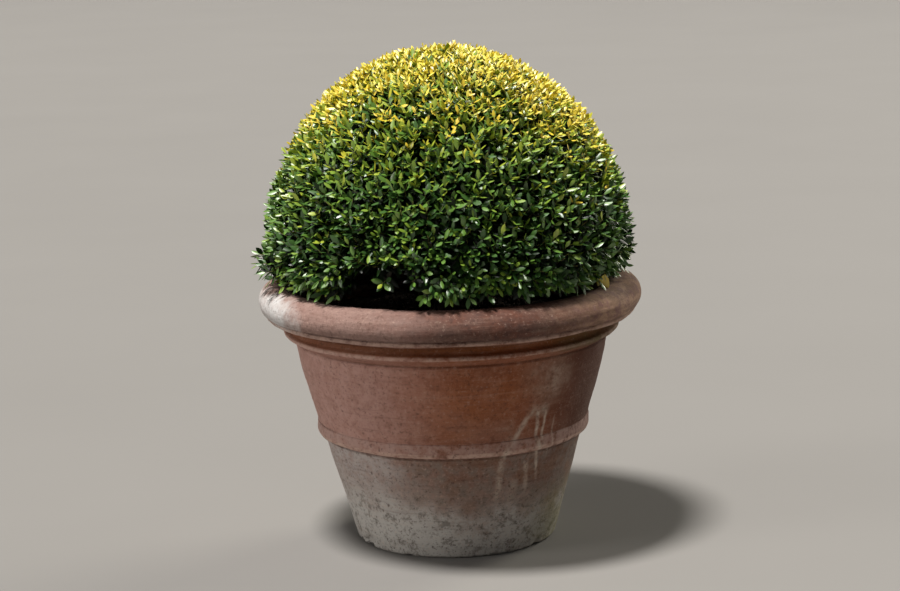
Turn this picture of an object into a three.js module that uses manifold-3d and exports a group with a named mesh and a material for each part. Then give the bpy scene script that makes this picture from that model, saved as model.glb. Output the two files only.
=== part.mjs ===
import * as THREE from "three";
import { mergeVertices } from "three/addons/utils/BufferGeometryUtils.js";
import Module from "manifold-3d";

// A clipped box ball growing in a round terracotta pot. Millimetres, +Z up.
// The pot stands on Z = 0 and its axis is X = Y = 0.

// Driving dimensions of the pot
const POT_HEIGHT = 344;
const RIM_RADIUS = 250;
const BASE_RADIUS = 131.5;
const WALL = 24;
const DRAIN_HOLE_RADIUS = 16;
const POT_SIDES = 48;

// Driving dimensions of the clipped ball
const BALL_RADIUS = 243;
const BALL_TOP_Z = 652;
const BALL_WIDEST_Z = 388;
const SKIRT_Z = 351;
const SKIRT_TUCK = 16;

// Driving dimensions of what carries it
const COMPOST_Z = 298;
const STEM_RADIUS = 17;
const STEM_FLARE_RADIUS = 29;
const STEM_TOP_Z = 446;
const BOUGH_COUNT = 5;
const BOUGH_RADIUS = 7.5;
const BOUGH_REACH = { lowest: 130, highest: 96 };
const BOUGH_RISE = { lowest: 63, highest: 73 };
const FORK_Z = { lowest: 334, highest: 378 };

// Leaves and the twigs they sit on, larger than life because there are fewer of them
const TWIG_COUNT = 124;
const TWIG_RADIUS = 3.5;
const LEAF_LENGTH = 41;
const LEAF_WIDTH = 23;
const LEAF_THICKNESS = 2.6;
const LEAF_SUNK = 1.2;
const LEAF_LAYER = 26;
const SEED = 3;

// The gap between a piece and its neighbour
const CLEAR = 0.3;

const GOLDEN_ANGLE = Math.PI * (3 - Math.sqrt(5));
const UP = new THREE.Vector3(0, 0, 1);

const wasm = await Module();
wasm.setup();

// A repeatable number from 0 to 1 for each thing and each of its choices
function chance(index, choice) {
  const value = Math.sin(index * 12.9898 + choice * 78.233 + SEED) * 43758.5453;
  return value - Math.floor(value);
}

function spread(index, choice, reach) {
  return (chance(index, choice) * 2 - 1) * reach;
}

// Solids and booleans

function toSolid(geometry) {
  const bare = geometry.clone();
  bare.deleteAttribute("normal");
  bare.deleteAttribute("uv");
  const merged = mergeVertices(bare, 1e-4);
  return new wasm.Manifold(new wasm.Mesh({
    numProp: 3,
    vertProperties: Float32Array.from(merged.attributes.position.array),
    triVerts: Uint32Array.from(merged.index.array),
  }));
}

function toGeometry(solid) {
  const mesh = solid.getMesh();
  const geometry = new THREE.BufferGeometry();
  geometry.setAttribute("position", new THREE.BufferAttribute(mesh.vertProperties, 3));
  geometry.setIndex(new THREE.BufferAttribute(mesh.triVerts, 1));
  geometry.computeVertexNormals();
  return geometry;
}

// The largest body alone: loose scraps go, and hollows that the joining sealed are filled
function mainBody(solid) {
  const bodies = solid.decompose();
  return bodies.reduce((best, body) => (body.volume() > best.volume() ? body : best));
}

// Turns a profile of [radius, height] points about the Z axis
function turned(profile, sides) {
  const points = profile.map(([radius, height]) => new THREE.Vector2(radius, height));
  const geometry = new THREE.LatheGeometry(points, sides);
  geometry.rotateX(Math.PI / 2);
  return geometry;
}

function arc(centreRadius, centreHeight, halfWidth, halfHeight, fromDegrees, toDegrees, steps) {
  const points = [];
  for (let step = 0; step <= steps; step += 1) {
    const angle = THREE.MathUtils.degToRad(fromDegrees + (toDegrees - fromDegrees) * step / steps);
    points.push([centreRadius + halfWidth * Math.cos(angle), centreHeight + halfHeight * Math.sin(angle)]);
  }
  return points;
}

// A tapering limb of round section along a curve, with flat ends
function limb(curve, radiusAt, sides, rings) {
  const positions = [];
  const faces = [];
  const frames = curve.computeFrenetFrames(rings, false);
  for (let ring = 0; ring <= rings; ring += 1) {
    const along = ring / rings;
    const centre = curve.getPointAt(along);
    for (let side = 0; side < sides; side += 1) {
      const angle = 2 * Math.PI * side / sides;
      const point = centre.clone()
        .addScaledVector(frames.normals[ring], Math.cos(angle) * radiusAt(along))
        .addScaledVector(frames.binormals[ring], Math.sin(angle) * radiusAt(along));
      positions.push(point.x, point.y, point.z);
    }
  }
  const first = positions.length / 3;
  const start = curve.getPointAt(0);
  const end = curve.getPointAt(1);
  positions.push(start.x, start.y, start.z, end.x, end.y, end.z);
  for (let side = 0; side < sides; side += 1) {
    const next = (side + 1) % sides;
    for (let ring = 0; ring < rings; ring += 1) {
      const low = ring * sides;
      const high = low + sides;
      faces.push(low + side, low + next, high + next, low + side, high + next, high + side);
    }
    const last = rings * sides;
    faces.push(first, next, side, first + 1, last + side, last + next);
  }
  const geometry = new THREE.BufferGeometry();
  geometry.setAttribute("position", new THREE.BufferAttribute(new Float32Array(positions), 3));
  geometry.setIndex(faces);
  return geometry;
}

// Terracotta pot

const ROLL = { radius: 223.5, z: 321, halfWidth: RIM_RADIUS - 223.5, up: POT_HEIGHT - 321, down: 23.5 };
const UNDER_ROLL = { radius: 241.8, z: 308.8 };
const LIP = { radius: 238, z: 304.5, halfWidth: 4.8, halfHeight: 3.5 };
const NECK = { radius: 213, z: 290.5, round: 6 };
const BEAD = { radius: 218, z: 281.2, halfWidth: 2.8, halfHeight: 3.4 };
const BODY_TOP = { radius: 205, z: 266.5 };
const BELLY = { radius: 198.8, z: 236 };
const BODY_FOOT = { radius: 179, z: 165 };
const RING = { radius: 179.5, low: 142.5, high: 163, round: 8 };
const CUT_LINE = { depth: 1.8, halfHeight: 2 };
const LOWER_BODY_TOP = { radius: 169.8, z: 141.5 };
const FLOOR_THICKNESS = 28;

// The outside from the foot up to the top of the rolled rim
function potOutside() {
  const foot = arc(BASE_RADIUS - 5, 6, 5, 6, -80, 0, 2);
  const ringEdge = arc(RING.radius - RING.round, RING.low + RING.round, RING.round, RING.round, -75, 0, 3);
  const bead = arc(BEAD.radius, BEAD.z, BEAD.halfWidth, BEAD.halfHeight, -55, 80, 3);
  const hollow = arc(NECK.radius + NECK.round, NECK.z, NECK.round, NECK.round, 225, 135, 2);
  const lip = arc(LIP.radius, LIP.z, LIP.halfWidth, LIP.halfHeight, -75, 62, 3);
  const roll = arc(ROLL.radius, ROLL.z, ROLL.halfWidth, ROLL.down, -31, 0, 2);
  const rollTop = arc(ROLL.radius, ROLL.z, ROLL.halfWidth, ROLL.up, 0, 165, 8).slice(1);
  return [
    [foot[0][0], 0],
    ...foot.slice(1),
    [LOWER_BODY_TOP.radius, LOWER_BODY_TOP.z],
    ...ringEdge,
    [RING.radius, RING.high - CUT_LINE.halfHeight],
    [RING.radius - CUT_LINE.depth, RING.high],
    [BODY_FOOT.radius, BODY_FOOT.z],
    [BELLY.radius, BELLY.z],
    [BODY_TOP.radius, BODY_TOP.z],
    [BODY_TOP.radius - CUT_LINE.depth, BODY_TOP.z + CUT_LINE.halfHeight],
    [BODY_TOP.radius + 1, BODY_TOP.z + 2 * CUT_LINE.halfHeight],
    ...bead,
    ...hollow,
    ...lip,
    [UNDER_ROLL.radius, UNDER_ROLL.z],
    ...roll,
    ...rollTop,
  ];
}

// The inside from under the rolled rim down to the floor
function potInside() {
  return [
    [194, 312],
    [NECK.radius - WALL, NECK.z],
    [BODY_TOP.radius - WALL, BODY_TOP.z],
    [LOWER_BODY_TOP.radius - WALL, LOWER_BODY_TOP.z],
    [BASE_RADIUS - WALL + 9, FLOOR_THICKNESS + 12],
    [BASE_RADIUS - WALL, FLOOR_THICKNESS],
  ];
}

function makePot() {
  const profile = [
    ...potOutside(),
    ...potInside(),
    [DRAIN_HOLE_RADIUS, FLOOR_THICKNESS],
    [DRAIN_HOLE_RADIUS, 0],
  ];
  profile.push(profile[0]);
  return turned(profile, POT_SIDES);
}

// Compost that fills the pot, clear of the wall all round

function makeCompost() {
  const inset = CLEAR * 1.5;
  const wall = potInside().slice(1).reverse().map(([radius, z]) => [radius - inset, z]);
  wall[0][1] = FLOOR_THICKNESS + CLEAR;
  const levelRadius = STEM_FLARE_RADIUS + 12;
  const edgeDrop = 6;
  const edgeRadius = NECK.radius - WALL;
  return turned([
    [0, FLOOR_THICKNESS + CLEAR],
    ...wall,
    [edgeRadius, COMPOST_Z - edgeDrop],
    [levelRadius, COMPOST_Z],
    [0, COMPOST_Z],
  ], POT_SIDES);
}

// Stem, from a flat cut on the compost, with its root flare, a slight lean and its taper

const STEM_FOOT_Z = COMPOST_Z + CLEAR;
const stemCurve = new THREE.CatmullRomCurve3([
  new THREE.Vector3(0, 0, STEM_FOOT_Z),
  new THREE.Vector3(0.5, 0, STEM_FOOT_Z + 20),
  new THREE.Vector3(4, 2, STEM_FOOT_Z + 70),
  new THREE.Vector3(3, 5, STEM_TOP_Z),
]);

function stemRadius(along) {
  const flare = (STEM_FLARE_RADIUS - STEM_RADIUS) * Math.exp(-along * 12);
  const taper = STEM_RADIUS * (1 - 0.45 * along);
  return taper + flare;
}

function makeStem(grow = 0) {
  const sides = 12;
  const rings = 9;
  const stem = toSolid(limb(stemCurve, (along) => stemRadius(along) + grow, sides, rings));
  const groundHeight = COMPOST_Z * 2;
  const below = new THREE.BoxGeometry(groundHeight, groundHeight, groundHeight);
  below.translate(0, 0, STEM_FOOT_Z - groundHeight / 2);
  return grow > 0 ? stem : stem.subtract(toSolid(below));
}

// Boughs, which leave the stem one above another and curve up into the leafy shell

function boughCurve(index) {
  const azimuth = 0.5 + index * GOLDEN_ANGLE;
  const out = new THREE.Vector3(Math.cos(azimuth), Math.sin(azimuth), 0);
  const upStem = index / (BOUGH_COUNT - 1);
  const between = ({ lowest, highest }) => THREE.MathUtils.lerp(lowest, highest, upStem);
  const start = stemCurve.getPointAt((between(FORK_Z) - STEM_FOOT_Z) / (STEM_TOP_Z - STEM_FOOT_Z));
  const reach = between(BOUGH_REACH);
  const rise = between(BOUGH_RISE);
  const bend = [[0, 0], [0.35, 0.22], [0.72, 0.56], [1, 1]];
  return new THREE.CatmullRomCurve3(bend.map(([outShare, upShare]) => (
    start.clone().addScaledVector(out, reach * outShare).addScaledVector(UP, rise * upShare)
  )));
}

function makeBough(index, grow = 0) {
  const sides = 8;
  const rings = 5;
  const radiusAt = (along) => BOUGH_RADIUS * (1 - 0.35 * along) + grow;
  return toSolid(limb(boughCurve(index), radiusAt, sides, rings));
}

// The clipped ball

const BALL_RISE = BALL_TOP_Z - BALL_WIDEST_Z;
const MOUTH_RADIUS = ROLL.radius - ROLL.halfWidth;

// Radius of the clipped outline at a height, drawn in by inset all round
function outlineRadius(z, inset = 0) {
  if (z > BALL_WIDEST_Z) {
    const height = (z - BALL_WIDEST_Z) / (BALL_RISE - inset);
    return height >= 1 ? 0 : (BALL_RADIUS - inset) * Math.sqrt(1 - height * height);
  }
  const drop = (BALL_WIDEST_Z - z) / (BALL_WIDEST_Z - SKIRT_Z);
  return BALL_RADIUS - inset - SKIRT_TUCK * drop * drop;
}

// Which way the clipped outline faces at a height, out being level and away from the axis
function outlineNormal(z, out) {
  if (z > BALL_WIDEST_Z) {
    const outward = outlineRadius(z) / BALL_RADIUS ** 2;
    const upward = (z - BALL_WIDEST_Z) / BALL_RISE ** 2;
    return out.clone().multiplyScalar(outward).addScaledVector(UP, upward).normalize();
  }
  const slope = 2 * SKIRT_TUCK * (BALL_WIDEST_Z - z) / (BALL_WIDEST_Z - SKIRT_Z) ** 2;
  return out.clone().addScaledVector(UP, -slope).normalize();
}

// Whether a point keeps to the ball's own space, clear of the pot's rim
function insideOutline(point) {
  const radius = Math.hypot(point.x, point.y);
  const lowest = radius < MOUTH_RADIUS - 8 ? POT_HEIGHT - 14 : POT_HEIGHT + 3;
  return point.z > lowest && radius < outlineRadius(point.z, -1);
}

// The dense inside of the shell: a thick dome that sits down into the mouth of the pot,
// hollow below where the stem and boughs rise
function makeCore() {
  const coreSides = 28;
  const lip = BALL_RADIUS - LEAF_LAYER;
  const belly = { radius: MOUTH_RADIUS - 12, z: POT_HEIGHT - 9 };
  const hollow = { radius: 140, rise: 98 };
  const dome = arc(0, BALL_WIDEST_Z, lip, BALL_RISE - LEAF_LAYER, 90, 0, 8);
  dome[0][0] = 0;
  const dish = arc(0, belly.z, hollow.radius, hollow.rise, 0, 90, 5);
  dish[dish.length - 1][0] = 0;
  const profile = [
    ...dome,
    [lip - 3, SKIRT_Z + 16],
    [lip - 12, SKIRT_Z + 5],
    [belly.radius + 4, SKIRT_Z + 1],
    [belly.radius, belly.z],
    ...dish,
  ];
  return toSolid(turned(profile.reverse(), coreSides));
}

// A lozenge leaf of eight faces from its sunk root to its tip, its blade square to the twig's side
function makeLeaf(root, direction, twigDirection) {
  const across = new THREE.Vector3().crossVectors(direction, twigDirection).normalize();
  const face = new THREE.Vector3().crossVectors(direction, across).normalize();
  const middle = root.clone().addScaledVector(direction, LEAF_LENGTH * 0.45);
  const corners = [
    root,
    middle.clone().addScaledVector(across, LEAF_WIDTH / 2),
    root.clone().addScaledVector(direction, LEAF_LENGTH),
    middle.clone().addScaledVector(across, -LEAF_WIDTH / 2),
    middle.clone().addScaledVector(face, LEAF_THICKNESS / 2),
    middle.clone().addScaledVector(face, -LEAF_THICKNESS / 2),
  ];
  const positions = new Float32Array(corners.flatMap((corner) => corner.toArray()));
  const geometry = new THREE.BufferGeometry();
  geometry.setAttribute("position", new THREE.BufferAttribute(positions, 3));
  geometry.setIndex([0, 4, 1, 1, 4, 2, 2, 4, 3, 3, 4, 0, 1, 5, 0, 2, 5, 1, 3, 5, 2, 0, 5, 3]);
  return corners.slice(1, 4).every(insideOutline) ? toSolid(geometry) : null;
}

// The two pairs of a twig: an upright one and a more open one a quarter turn from it
const LEAF_PAIRS = [
  { opening: 0.88, turn: 0 },
  { opening: 1.25, turn: Math.PI / 2 },
];

// How far along the twig a leaf's root lies below the clipped surface, so that its tip just reaches it
function rootDepth(opening) {
  const tipDepth = 1.5;
  return (LEAF_LENGTH - LEAF_SUNK) * Math.cos(opening) + tipDepth;
}

// Where a twig comes out of the clipped outline and which way it points. Twigs are evenly
// spread from the top down to the skirt, each a golden angle round from the last.
function twigPlace(index) {
  const lowest = SKIRT_Z + 4;
  const z = BALL_TOP_Z - (index + 0.5) / TWIG_COUNT * (BALL_TOP_Z - lowest);
  const azimuth = index * GOLDEN_ANGLE + spread(index, 1, 0.09);
  const out = new THREE.Vector3(Math.cos(azimuth), Math.sin(azimuth), 0);
  const surface = out.clone().multiplyScalar(outlineRadius(z)).setZ(z);
  const leanUp = z > BALL_WIDEST_Z ? 0.25 : 0;
  const wander = [2, 3, 4].map((choice) => spread(index, choice, 0.16));
  const direction = outlineNormal(z, out).addScaledVector(UP, leanUp).add(new THREE.Vector3(...wander));
  return { surface, direction: direction.normalize() };
}

// One twig: opposite pairs of leaves, each pair turned from the last
function makeTwig(index) {
  const { surface, direction } = twigPlace(index);
  const along = (depth) => surface.clone().addScaledVector(direction, -depth);
  const flattest = LEAF_PAIRS[LEAF_PAIRS.length - 1].opening;
  const spine = new THREE.LineCurve3(along(LEAF_LAYER + 12), along(rootDepth(flattest) - 3));
  const pieces = [toSolid(limb(spine, () => TWIG_RADIUS, 3, 1))];
  const sideways = new THREE.Vector3().crossVectors(direction, UP).normalize();
  const upward = new THREE.Vector3().crossVectors(sideways, direction).normalize();
  const roll = chance(index, 6) * Math.PI;
  LEAF_PAIRS.forEach(({ opening, turn }, pair) => {
    for (const half of [0, 1]) {
      const choice = 10 + pair * 6 + half * 3;
      const angle = roll + turn + half * Math.PI + spread(index, choice, 0.2);
      const aside = sideways.clone().multiplyScalar(Math.cos(angle)).addScaledVector(upward, Math.sin(angle));
      const open = opening + spread(index, choice + 1, 0.1);
      const blade = direction.clone().multiplyScalar(Math.cos(open)).addScaledVector(aside, Math.sin(open));
      const depth = rootDepth(open) + chance(index, choice + 2) * 4;
      const leaf = makeLeaf(along(depth).addScaledVector(blade, -LEAF_SUNK), blade, direction);
      if (leaf) {
        pieces.push(leaf);
      }
    }
  });
  return pieces;
}

function makeFoliage(limbs) {
  let solid = makeCore();
  for (let index = 0; index < TWIG_COUNT; index += 1) {
    for (const piece of makeTwig(index)) {
      solid = solid.add(piece);
    }
  }
  for (const limbSolid of limbs) {
    solid = solid.subtract(limbSolid);
  }
  return mainBody(solid);
}

// Materials

const terracotta = new THREE.MeshStandardMaterial({ color: 0xa06a4e, roughness: 0.9, metalness: 0 });
const compost = new THREE.MeshStandardMaterial({ color: 0x2a1d14, roughness: 1, metalness: 0 });
const bark = new THREE.MeshStandardMaterial({ color: 0x7a6a52, roughness: 0.95, metalness: 0 });
const leaves = new THREE.MeshStandardMaterial({ color: 0x5f8a22, roughness: 0.5, metalness: 0 });

const plant = new THREE.Group();

function place(name, geometry, material) {
  const mesh = new THREE.Mesh(geometry, material);
  mesh.name = name;
  plant.add(mesh);
}

// Each bough gives way to the stem and to the boughs below it
function makeBoughs() {
  const boughs = [];
  const taken = [makeStem(CLEAR)];
  for (let index = 0; index < BOUGH_COUNT; index += 1) {
    const cut = taken.reduce((solid, neighbour) => solid.subtract(neighbour), makeBough(index));
    boughs.push(mainBody(cut));
    taken.push(makeBough(index, CLEAR));
  }
  return { boughs, taken };
}

const { boughs, taken } = makeBoughs();
place("pot", makePot(), terracotta);
place("compost", makeCompost(), compost);
place("stem", toGeometry(makeStem()), bark);
boughs.forEach((bough, index) => place(`bough_${index + 1}`, toGeometry(bough), bark));
place("foliage", toGeometry(makeFoliage(taken)), leaves);

export default plant;
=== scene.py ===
import math
from functools import reduce

import bpy
import numpy as np
from mathutils import Matrix, Vector


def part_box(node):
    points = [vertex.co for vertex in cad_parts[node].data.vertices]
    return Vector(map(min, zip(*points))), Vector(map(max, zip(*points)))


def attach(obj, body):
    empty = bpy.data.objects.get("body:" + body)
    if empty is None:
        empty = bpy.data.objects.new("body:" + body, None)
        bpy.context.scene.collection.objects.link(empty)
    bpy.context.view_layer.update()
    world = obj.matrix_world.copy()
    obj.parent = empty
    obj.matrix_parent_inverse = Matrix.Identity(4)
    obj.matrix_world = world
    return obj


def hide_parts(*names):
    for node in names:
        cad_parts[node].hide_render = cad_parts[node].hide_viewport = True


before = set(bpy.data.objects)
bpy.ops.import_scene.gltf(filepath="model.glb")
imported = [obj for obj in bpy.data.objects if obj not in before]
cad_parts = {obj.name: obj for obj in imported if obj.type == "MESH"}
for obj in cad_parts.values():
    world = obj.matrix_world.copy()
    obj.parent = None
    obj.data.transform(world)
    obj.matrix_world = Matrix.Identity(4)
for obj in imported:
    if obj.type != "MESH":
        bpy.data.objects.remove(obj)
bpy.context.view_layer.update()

# A clipped box ball in a round terracotta pot. Metres, +Z up. The pot's axis is X = Y = 0.

# The camera stands where the photograph was taken from, turned to the plant, with a longer lens
CAMERA_DISTANCE = 3.097
CAMERA_HEIGHT = 0.918
CAMERA_PITCH = 0.191
CAMERA_ROLL = -0.028
CAMERA_LENS = 96
SENSOR_WIDTH = 36

# The pot's size from the frame, the solids' walls, and how fine its mesh is
RIM_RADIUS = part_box("pot")[1].x
POT_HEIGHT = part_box("pot")[1].z
BASE_RADIUS = 0.1315
FOOT_ROUND = (0.005, 0.006)
WALL = 0.024
DRAIN_RADIUS = 0.016
POT_FLOOR = 0.028
POT_SIDES = 288
OUTSIDE_STEP = 0.0030
INSIDE_STEP = 0.008

# The pot's mouldings, as in the solids: a radius and a height each, and the half width and half
# height of the round ones
ROLL = (0.2235, 0.3210)
ROLL_HALF_WIDTH = RIM_RADIUS - ROLL[0]
ROLL_UP = POT_HEIGHT - ROLL[1]
ROLL_DOWN = 0.0235
MOUTH_RADIUS = ROLL[0] - ROLL_HALF_WIDTH
UNDER_ROLL = (0.2418, 0.3088)
LIP = (0.2380, 0.3045, 0.0048, 0.0035)
NECK = (0.2130, 0.2905)
NECK_ROUND = 0.006
BEAD = (0.2180, 0.2812, 0.0028, 0.0034)
BODY_TOP = (0.2050, 0.2665)
BELLY = (0.1988, 0.2360)
BODY_FOOT = (0.1790, 0.1650)
RING_RADIUS = 0.1795
RING_LOW_Z = 0.1425
RING_HIGH_Z = 0.1630
RING_ROUND = 0.008
CUT_DEPTH = 0.0018
CUT_HALF = 0.002
LOWER_BODY_TOP = (0.1698, 0.1415)

# Leaves stay above an arch over the rolled rim, and above a height inside it
CLEAR_HALF_WIDTH = 0.0275
CLEAR_Z = 0.3225
CLEAR_UP = 0.023
CLEAR_INSIDE_Z = 0.3

# Compost and stem, from the frame and the solids
COMPOST_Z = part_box("compost")[1].z
STEM_FOOT_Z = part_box("stem")[0].z
STEM_TOP_Z = 0.446
STEM_RADIUS = 0.017
STEM_FLARE = 0.029

# The boughs, as in the solids
BOUGH_COUNT = 5
BOUGH_RADIUS = 0.0075
BOUGH_REACH = (0.130, 0.096)
BOUGH_RISE = (0.063, 0.073)
FORK_Z = (0.334, 0.378)

# The clipped ball's outline, as in the solids
BALL_RADIUS = 0.243
BALL_TOP_Z = 0.652
BALL_WIDEST_Z = 0.388
BALL_RISE = BALL_TOP_Z - BALL_WIDEST_Z
SKIRT_Z = 0.351
SKIRT_TUCK = 0.016
OPENING_AZIMUTH = math.radians(-112)
OPENING_HALF_WIDTH = math.radians(16)

# Branches go where the solids' twigs are, and the shoots on them carry leaves of life size
BRANCH_COUNT = 124
BRANCH_DEPTH = 0.052
SHOOT_COUNT = 3500
UNDERSIDE_COUNT = 340
FLUSH_COUNT = 2200
FLUSH_LOW_Z = 0.548
FLUSH_HIGH_Z = 0.652
FLUSH_LOWEST_Z = 0.45
# The flush reaches lower at the sides and the right: young growth, and painted light on the lit edges
FLUSH_TILT = 0.047
FLUSH_RIGHT = 0.038
LEAF_LENGTH = 0.0155
LEAF_WIDTH = 0.0064
LEAF_TRIANGLES = 12
MOST_TRIANGLES = 190_000

# Rings along a limb and sides round it
STEM_MESH = (150, 90)
BOUGH_MESH = (110, 48)
BRANCH_MESH = (14, 7)
SHOOT_MESH = (6, 3)

# The first seed number of each kind of shoot
SHOOT_SEED = 1000
UNDERSIDE_SEED = 9000
SPRIG_SEED = 12000
FLUSH_SEED = 20000

FLOOR_RADIUS = 12.0
SWEEP_HEIGHT = 3.0
FLOOR_THICK = 0.02
SEED = 3
GOLDEN_ANGLE = math.pi * (3 - math.sqrt(5))
UP = np.array([0.0, 0.0, 1.0])
NEARLY_UP = UP + [0.013, 0.007, 0.0]


# Numbers and vectors

def chance(index, choice):
    """A repeatable number from 0 to 1 for each thing and each of its choices."""
    value = np.sin(index * 12.9898 + choice * 78.233 + SEED) * 43758.5453
    return value - np.floor(value)


def spread(index, choice, reach):
    return (chance(index, choice) * 2 - 1) * reach


def wander(index, first, reach):
    """A seeded turn aside for each thing, by three choices from the first one on."""
    return np.stack([spread(index, first + k, reach) for k in range(3)], axis=-1)


def unit(vectors):
    return vectors / np.linalg.norm(vectors, axis=-1, keepdims=True)


def level(azimuth):
    """Level directions, one for each azimuth."""
    return np.stack([np.cos(azimuth), np.sin(azimuth), np.zeros_like(azimuth)], axis=-1)


def smooth(value, low, high):
    """0 below low, 1 above high and a smooth step between."""
    share = np.clip((value - low) / (high - low), 0, 1)
    return share * share * (3 - 2 * share)


def waves(points, size, seed, count=36):
    """Smooth seeded relief from about -1 to 1: ripples of about the given size, from all sides."""
    number = np.arange(count)
    direction = unit(wander(number, seed + 1, 1))
    length = size * (0.6 + 0.9 * chance(number, seed + 4))
    phase = chance(number, seed + 5) * 2 * math.pi
    total = np.zeros(points.shape[:-1])
    for k in number:
        total += np.sin(points @ direction[k] * (2 * math.pi / length[k]) + phase[k])
    return total * math.sqrt(2 / count) / 1.6


def relief(points, rows):
    """Waves of several sizes together. Each row is a size, a seed and a depth."""
    return sum(waves(points, size, seed) * depth for size, seed, depth in rows)


def linear(code):
    """A linear colour from a hexadecimal one as seen on a screen."""
    parts = [int(code[k:k + 2], 16) / 255 for k in (1, 3, 5)]
    return tuple(p / 12.92 if p <= 0.04045 else ((p + 0.055) / 1.055) ** 2.4 for p in parts) + (1.0,)


# Meshes

def put_in_scene(name, data):
    obj = bpy.data.objects.new(name, data)
    bpy.context.scene.collection.objects.link(obj)
    return obj


def make_object(name, points, faces, material):
    mesh = bpy.data.meshes.new(name)
    mesh.vertices.add(len(points))
    mesh.vertices.foreach_set("co", np.ascontiguousarray(points, dtype=np.float32).ravel())
    mesh.loops.add(faces.size)
    mesh.loops.foreach_set("vertex_index", np.ascontiguousarray(faces, dtype=np.int32).ravel())
    mesh.polygons.add(len(faces))
    mesh.polygons.foreach_set("loop_start", np.arange(0, faces.size, faces.shape[1], dtype=np.int32))
    mesh.update(calc_edges=True)
    mesh.validate()
    mesh.shade_smooth()
    mesh.materials.append(material)
    return put_in_scene(name, mesh)


def make_piece(name, points, faces, material, slot, *nodes):
    """A piece of the plant, which rides on its body and stands for the nodes."""
    piece = make_object(name, points, faces, material)
    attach(piece, "root")
    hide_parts(*nodes)


def walls(low, high, sides):
    """Triangles between rings of points, from the numbers of the first point of each."""
    side = np.arange(sides)
    beside = (side + 1) % sides
    corners = (low + side, low + beside, high + beside, high + side)
    a, b, c, d = (corner.ravel() for corner in corners)
    return np.concatenate([np.stack([a, b, c], axis=-1), np.stack([a, c, d], axis=-1)])


def fan(tip, ring):
    """Triangles from a tip to each side of a closed ring, from the numbers of the points."""
    return np.stack([np.full(len(ring), tip), np.roll(ring, -1), ring], axis=-1)


def turned(profile, sides, closed):
    """Turns a profile of [radius, height] points about the Z axis. A closed profile runs back to
    its start. An open one starts and ends on the axis, at a pole."""
    profile = np.asarray(profile, dtype=float)
    rings = profile if closed else profile[1:-1]
    side = np.arange(sides)
    points = rings[:, None, :1] * level(side * 2 * math.pi / sides) + rings[:, None, 1:] * UP
    points = points.reshape(-1, 3)
    count = len(points)
    low = np.arange(len(rings) if closed else len(rings) - 1)[:, None] * sides
    faces = walls(low, (low + sides) % count, sides)
    if closed:
        return points, faces
    poles = profile[[0, -1], 1:] * UP
    ends = [fan(count, side), fan(count + 1, side + count - sides)[:, ::-1]]
    return np.concatenate([points, poles]), np.concatenate([faces, *ends])


def tubes(centres, radii, sides):
    """Closed tubes along curves, all at once: centres is (tube, ring, xyz) and radii (tube, ring)."""
    count, rings = radii.shape
    tangent = unit(np.gradient(centres, axis=1))
    chord = unit(centres[:, -1] - centres[:, 0])
    reference = unit(np.cross(chord, NEARLY_UP))[:, None]
    normal = unit(np.cross(tangent, reference))
    binormal = np.cross(tangent, normal)
    side = np.arange(sides)
    angle = (side * 2 * math.pi / sides)[:, None]
    around = normal[:, :, None] * np.cos(angle) + binormal[:, :, None] * np.sin(angle)
    skin = (centres[:, :, None] + around * radii[:, :, None, None]).reshape(count, -1, 3)
    points = np.concatenate([skin, centres[:, :1], centres[:, -1:]], axis=1)
    low = np.arange(rings - 1)[:, None] * sides
    tip = rings * sides
    ends = [fan(tip, side), fan(tip + 1, side + tip - sides)[:, ::-1]]
    one = np.concatenate([walls(low, low + sides, sides), *ends])
    first = np.arange(count)[:, None, None] * points.shape[1]
    return points.reshape(-1, 3), (one + first).reshape(-1, 3)


def arc(radius, height, half_width, half_height, start, end, steps):
    """Points of an elliptic arc, as in the solids, its angles in degrees."""
    angle = np.radians(np.linspace(start, end, steps + 1))
    return np.stack([radius + half_width * np.cos(angle), height + half_height * np.sin(angle)], axis=-1)


def close_set(profile, step):
    """The same outline with points no further apart than a step."""
    pieces = []
    for start, end in zip(profile[:-1], profile[1:]):
        count = max(1, math.ceil(np.linalg.norm(end - start) / step))
        pieces.append(np.linspace(start, end, count, endpoint=False))
    return np.concatenate([*pieces, profile[-1:]])


def smooth_curve(corners, count):
    """Points evenly spaced along a centripetal Catmull-Rom curve through the corners."""
    corners = np.asarray(corners, dtype=float)
    padded = np.concatenate([[2 * corners[0] - corners[1]], corners, [2 * corners[-1] - corners[-2]]])
    share = np.linspace(0, 1, 60, endpoint=False)[:, None]
    points = []
    for a, b, c, d in zip(padded, padded[1:], padded[2:], padded[3:]):
        before, here, after = (np.linalg.norm(step) ** 0.5 for step in (b - a, c - b, d - c))
        leave = ((b - a) / before - (c - a) / (before + here) + (c - b) / here) * here
        arrive = ((c - b) / here - (d - b) / (here + after) + (d - c) / after) * here
        points.append(b + leave * share + (3 * (c - b) - 2 * leave - arrive) * share ** 2
                      + (2 * (b - c) + leave + arrive) * share ** 3)
    points = np.concatenate([*points, corners[-1:]])
    along = np.concatenate([[0], np.cumsum(np.linalg.norm(np.diff(points, axis=0), axis=1))])
    even = np.linspace(0, along[-1], count)
    return np.stack([np.interp(even, along, points[:, k]) for k in range(3)], axis=-1)


# Materials

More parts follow.
